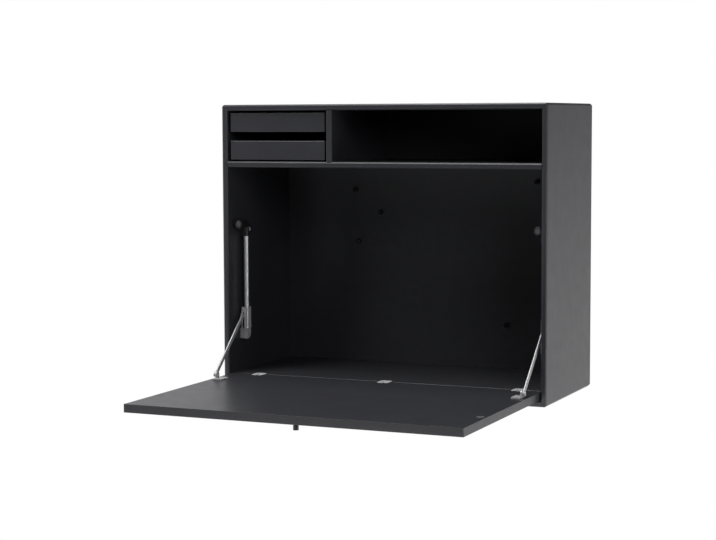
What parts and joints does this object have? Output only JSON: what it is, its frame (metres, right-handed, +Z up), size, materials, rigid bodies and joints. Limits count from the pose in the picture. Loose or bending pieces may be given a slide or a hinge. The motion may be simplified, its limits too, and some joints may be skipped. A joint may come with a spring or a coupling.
{
  "type": "fold down wall desk",
  "caption": "Dark wall-hung cabinet with a fold-down worktop flap on sliding stays, an open bay and small trays.",
  "frame": {"origin": "midway between the two wall fixings, in the plane of the wall", "axes": "+X to the right along the width seen from the front, +Y into the wall, +Z up"},
  "size_m": [0.696, 0.721, 0.586],
  "materials": {
    "lacquered_board": "satin dark grey lacquer on board",
    "tray_board": "satin dark grey lacquer on thin board",
    "coated_sheet": "matt dark grey coating on steel sheet",
    "black_button": "black, slightly glossy",
    "raw_wood": "plain beech",
    "zinc_steel": "zinc plated",
    "hinge_metal": "satin nickel plated casting",
    "nickel_steel": "nickel plated",
    "knob_metal": "blackened, satin",
    "chrome_rod": "ground, satin",
    "grey_casting": "grey coated casting",
    "white_plastic": "natural bearing plastic",
    "black_plastic": "black moulding",
    "magnet_face": "plain magnet face"
  },
  "bodies": {
    "cabinet": {"top_panel": "lacquered_board", "bottom_panel": "lacquered_board", "left_side_panel": "lacquered_board", "right_side_panel": "lacquered_board", "shelf": "lacquered_board", "divider": "lacquered_board", "floor_board": "lacquered_board", "back_panel": "lacquered_board", "magnetic_sheet": "coated_sheet", "magnet_buttons": "black_button", "corner_splines": "raw_wood", "dowels": "raw_wood", "tray_runners": "raw_wood", "hanging_rail": "zinc_steel", "rail_screws": "zinc_steel", "runner_screws": "zinc_steel", "floor_hinge_halves": "hinge_metal", "stay_screws": "nickel_steel", "left_guide_rod": "chrome_rod", "left_lower_bracket": "grey_casting", "left_top_mount": "black_plastic", "left_catch_magnet": "magnet_face", "right_guide_rod": "chrome_rod", "right_lower_bracket": "grey_casting", "right_top_mount": "black_plastic", "right_catch_magnet": "magnet_face"},
    "flap": {"flap_panel": "lacquered_board", "flap_hinge_halves": "hinge_metal", "hinge_pins": "zinc_steel", "foot_screws": "nickel_steel", "catch_strikes": "nickel_steel", "pull_knob": "knob_metal", "knob_stud": "zinc_steel", "left_foot_bracket": "nickel_steel", "right_foot_bracket": "nickel_steel", "left_foot_pin": "nickel_steel", "right_foot_pin": "nickel_steel"},
    "left_arm": {"left_stay_arm": "nickel_steel", "left_slider_rivet": "nickel_steel"},
    "left_slider": {"left_slider": "grey_casting", "left_slider_liners": "white_plastic"},
    "right_arm": {"right_stay_arm": "nickel_steel", "right_slider_rivet": "nickel_steel"},
    "right_slider": {"right_slider": "grey_casting", "right_slider_liners": "white_plastic"},
    "lower_tray": {"lower_tray_front": "lacquered_board", "lower_tray_left_side": "tray_board", "lower_tray_right_side": "tray_board", "lower_tray_back": "tray_board", "lower_tray_bottom": "tray_board"},
    "upper_tray": {"upper_tray_front": "lacquered_board", "upper_tray_left_side": "tray_board", "upper_tray_right_side": "tray_board", "upper_tray_back": "tray_board", "upper_tray_bottom": "tray_board"}
  },
  "joints": [
    {"name": "flap_hinge", "type": "hinge", "parent": "cabinet", "child": "flap", "pos_m": [0, -0.289, -0.5235], "axis": [-1, 0, 0], "range_deg": [0, 90]},
    {"name": "left_arm_pivot", "type": "hinge", "parent": "flap", "child": "left_arm", "pos_m": [-0.32715, -0.375, -0.508], "axis": [1, 0, 0], "range_deg": [0, 131.45]},
    {"name": "left_slider_slide", "type": "slide", "parent": "cabinet", "child": "left_slider", "axis": [0, 0, 1], "range_m": [0, 0.1235]},
    {"name": "right_arm_pivot", "type": "hinge", "parent": "flap", "child": "right_arm", "pos_m": [0.32715, -0.375, -0.508], "axis": [1, 0, 0], "range_deg": [0, 131.45]},
    {"name": "right_slider_slide", "type": "slide", "parent": "cabinet", "child": "right_slider", "axis": [0, 0, 1], "range_m": [0, 0.1235]},
    {"name": "upper_tray_slide", "type": "slide", "parent": "cabinet", "child": "upper_tray", "axis": [0, -1, 0], "range_m": [0, 0.19]},
    {"name": "lower_tray_slide", "type": "slide", "parent": "cabinet", "child": "lower_tray", "axis": [0, -1, 0], "range_m": [0, 0.19]}
  ],
  "couplings": [
    {"joint": "left_arm_pivot", "follows": "flap_hinge", "ratio": 1.4604},
    {"joint": "left_slider_slide", "follows": "flap_hinge", "m_per_rad": 0.078613},
    {"joint": "right_arm_pivot", "follows": "flap_hinge", "ratio": 1.4604},
    {"joint": "right_slider_slide", "follows": "flap_hinge", "m_per_rad": 0.078613}
  ]
}
